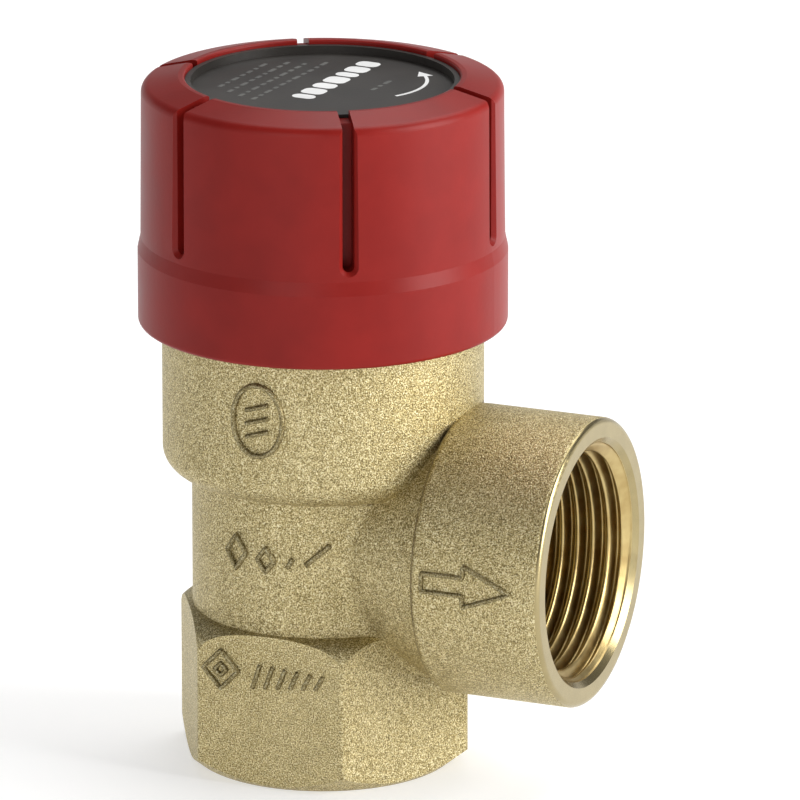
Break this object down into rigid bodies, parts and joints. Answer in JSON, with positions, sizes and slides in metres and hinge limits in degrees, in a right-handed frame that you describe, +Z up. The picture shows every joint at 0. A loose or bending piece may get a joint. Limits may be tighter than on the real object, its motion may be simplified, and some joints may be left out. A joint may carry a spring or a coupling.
{
  "type": "pressure relief valve",
  "caption": "Angle-pattern diaphragm pressure relief valve with a threaded inlet below, a threaded side outlet and a grooved twist-to-test cap over an adjustable spring.",
  "frame": {"origin": "centre of the inlet face, on the axis of the valve", "axes": "+Z up the valve axis towards the cap, +X out of the side outlet"},
  "size_m": [0.0523, 0.0406, 0.0775],
  "materials": {
    "forged_brass": "blasted forged brass, fine bright and dark grain",
    "turned_brass": "smooth turned",
    "zinc_steel": "bright zinc plate",
    "spring_steel": "drawn wire, oiled",
    "seal_rubber": "matt black",
    "white_plastic": "matt",
    "red_plastic": "moulded, semi gloss with a fine grain",
    "black_plastic": "matt black with pale printing"
  },
  "bodies": {
    "root": {"valve_body": "forged_brass", "bonnet": "turned_brass", "slip_ring": "zinc_steel", "diaphragm": "seal_rubber", "spring": "spring_steel", "upper_spring_plate": "zinc_steel", "adjusting_nut": "turned_brass", "stem_bush": "white_plastic"},
    "thrust_washer": {"thrust_washer": "zinc_steel"},
    "stem": {"stem": "turned_brass", "valve_disc": "turned_brass", "seat_gasket": "seal_rubber", "gasket_washer": "zinc_steel", "gasket_screw": "zinc_steel", "diaphragm_plate": "zinc_steel", "lower_spring_plate": "zinc_steel", "lock_washer": "zinc_steel", "stem_nut": "zinc_steel"},
    "knob": {"knob": "red_plastic", "knob_insert": "black_plastic"}
  },
  "joints": [
    {"name": "knob_rise", "type": "slide", "parent": "root", "child": "thrust_washer", "axis": [0, 0, 1], "range_m": [0, 0.00199], "deforming": ["diaphragm"]},
    {"name": "knob_turn", "type": "hinge", "parent": "thrust_washer", "child": "knob", "pos_m": [0, 0, 0.065], "axis": [0, 0, 1], "range_deg": [0, 84]},
    {"name": "stem_lift", "type": "slide", "parent": "thrust_washer", "child": "stem", "axis": [0, 0, 1], "range_m": [0, 0.0022], "stiffness_N_per_m": 8500, "deforming": ["spring"]}
  ],
  "couplings": [
    {"joint": "knob_turn", "follows": "knob_rise", "rad_per_m": 735.29}
  ]
}
